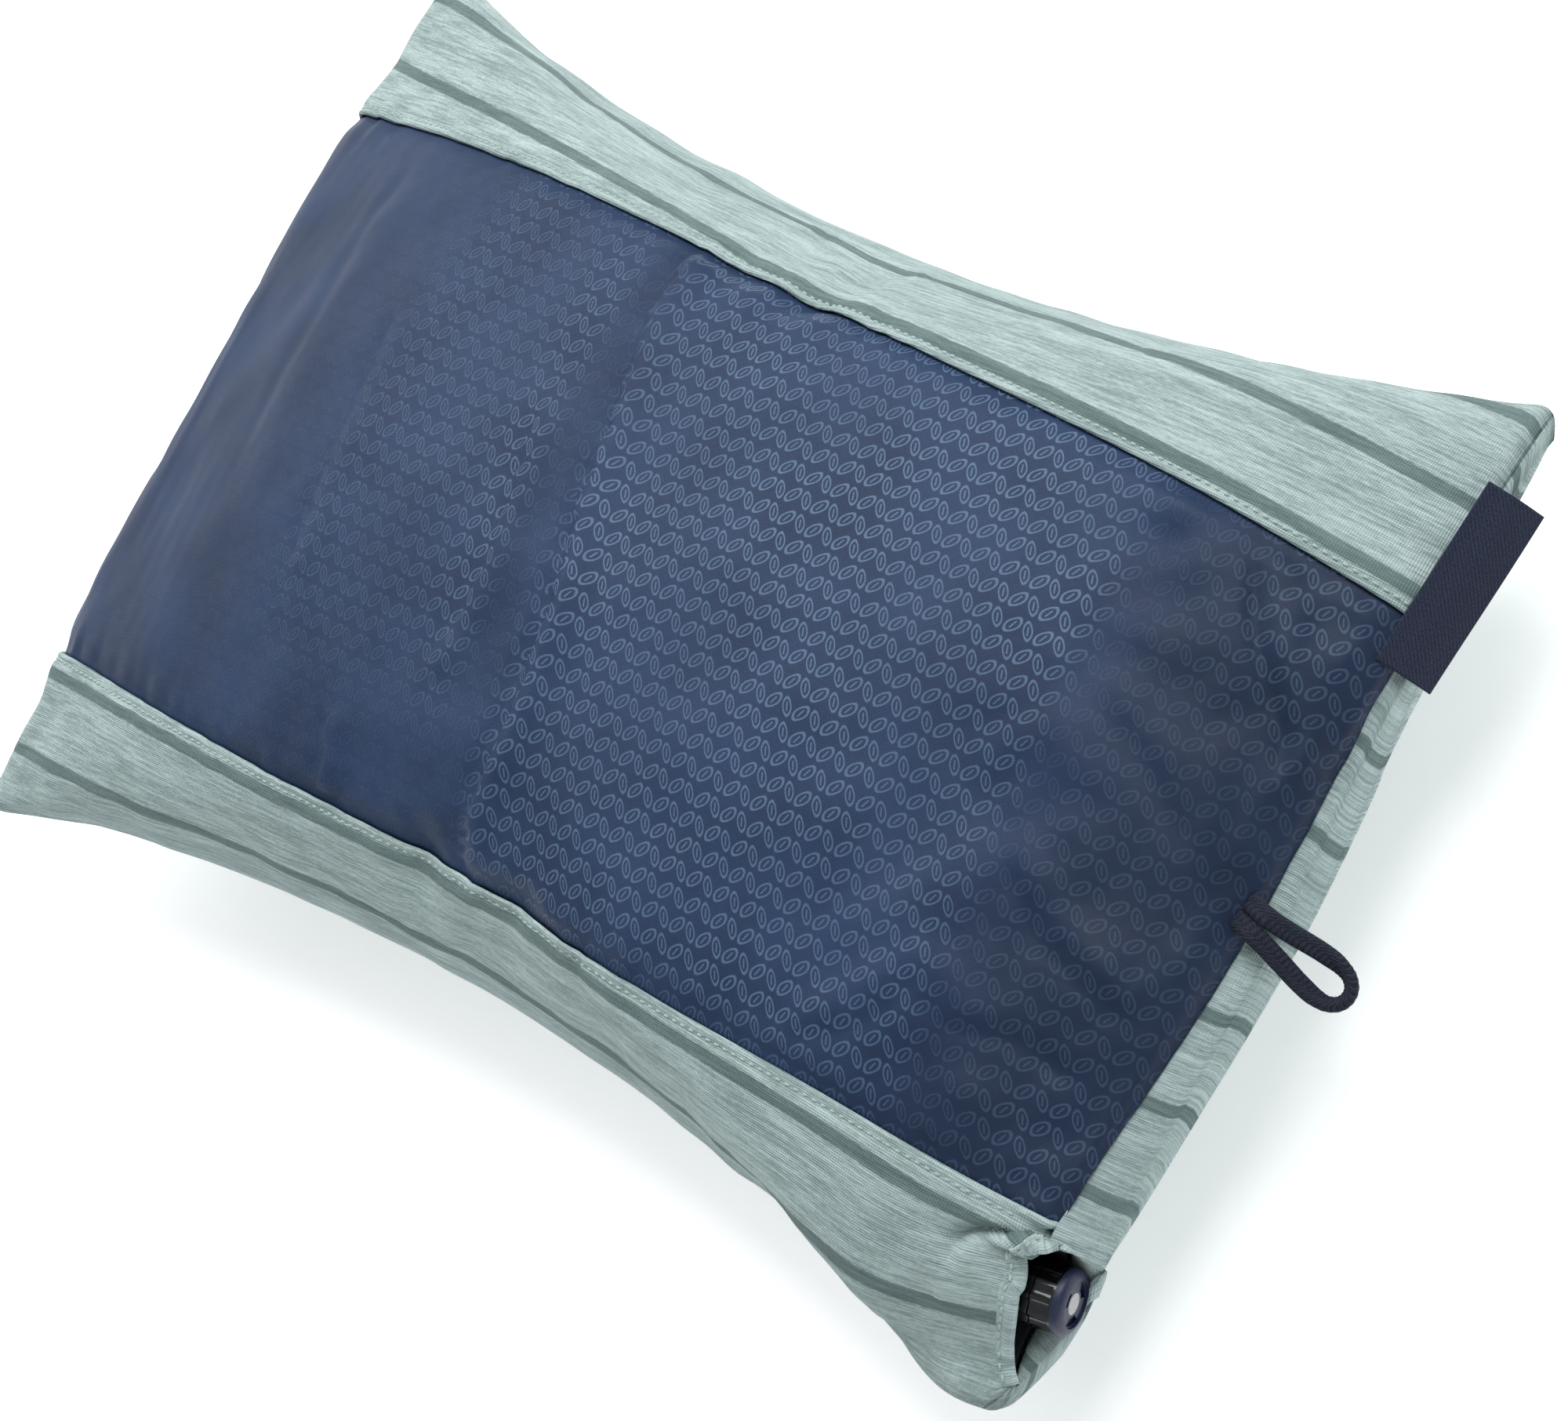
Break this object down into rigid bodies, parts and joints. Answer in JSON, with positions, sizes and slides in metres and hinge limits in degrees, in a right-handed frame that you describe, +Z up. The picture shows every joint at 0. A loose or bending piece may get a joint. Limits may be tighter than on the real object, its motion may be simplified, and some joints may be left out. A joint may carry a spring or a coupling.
{
  "type": "camp pillow",
  "caption": "Inflatable camp pillow: an air cell and a foam pad in a removable fabric case, with a twist valve, a hang loop and a label tab.",
  "frame": {"origin": "on the surface the pillow rests on, under the middle of the pillow", "axes": "+X along the length towards the valve end, +Y across the width away from the valve's corner, +Z up, out of the woven pocket panel"},
  "size_m": [0.4551, 0.284, 0.1],
  "materials": {
    "jersey": "heathered knit with darker stripes along its length",
    "pocket_fabric": "smooth woven with a slight sheen and a tone-on-tone print",
    "facing": "smooth woven",
    "thread": "twisted polyester",
    "braid": "flat braid with pale flecks",
    "ribbon": "woven ribbon, blank",
    "foam": "open-cell foam",
    "film": "laminated polyurethane film",
    "valve_black": "gloss",
    "cap_navy": "satin",
    "disc_grey": "satin",
    "seal": "matte"
  },
  "bodies": {
    "case": {"jersey_case": "jersey", "pocket_panel": "pocket_fabric", "mouth_facing": "facing", "valve_port_hem": "jersey", "far_seam_thread": "thread", "near_seam_thread": "thread", "foam_pad": "foam", "air_cell_upper_film": "film", "air_cell_lower_film": "film", "air_cell_weld_rim": "film", "baffle_1": "film", "baffle_2": "film", "baffle_3": "film", "baffle_4": "film", "valve_flange": "film", "valve_barrel": "valve_black"},
    "cap_seal": {"cap_seal_ring": "seal"},
    "valve_cap": {"valve_cap": "cap_navy", "cap_grip_ring": "valve_black", "cap_centre_disc": "disc_grey"},
    "hang_loop": {"hang_loop": "braid"},
    "label_tab": {"label_tab": "ribbon"}
  },
  "joints": [
    {"name": "cap_lift", "type": "slide", "parent": "case", "child": "cap_seal", "axis": [0.9562, 0.1789, -0.2317], "range_m": [0, 0.004]},
    {"name": "cap_twist", "type": "hinge", "parent": "cap_seal", "child": "valve_cap", "pos_m": [0.2094, -0.107, 0.0428], "axis": [0.9562, 0.1789, -0.2317], "range_deg": [0, 270]},
    {"name": "loop_flap", "type": "hinge", "parent": "case", "child": "hang_loop", "pos_m": [0.211, -0.0047, 0.0617], "axis": [-0.2215, -0.9751, 0], "range_deg": [0, 120]},
    {"name": "label_flap", "type": "hinge", "parent": "case", "child": "label_tab", "pos_m": [0.212, 0.09, 0.0581], "axis": [-0.0872, -0.9962, 0], "range_deg": [0, 100]}
  ],
  "couplings": [
    {"joint": "cap_lift", "follows": "cap_twist", "m_per_rad": 0.0008488}
  ]
}
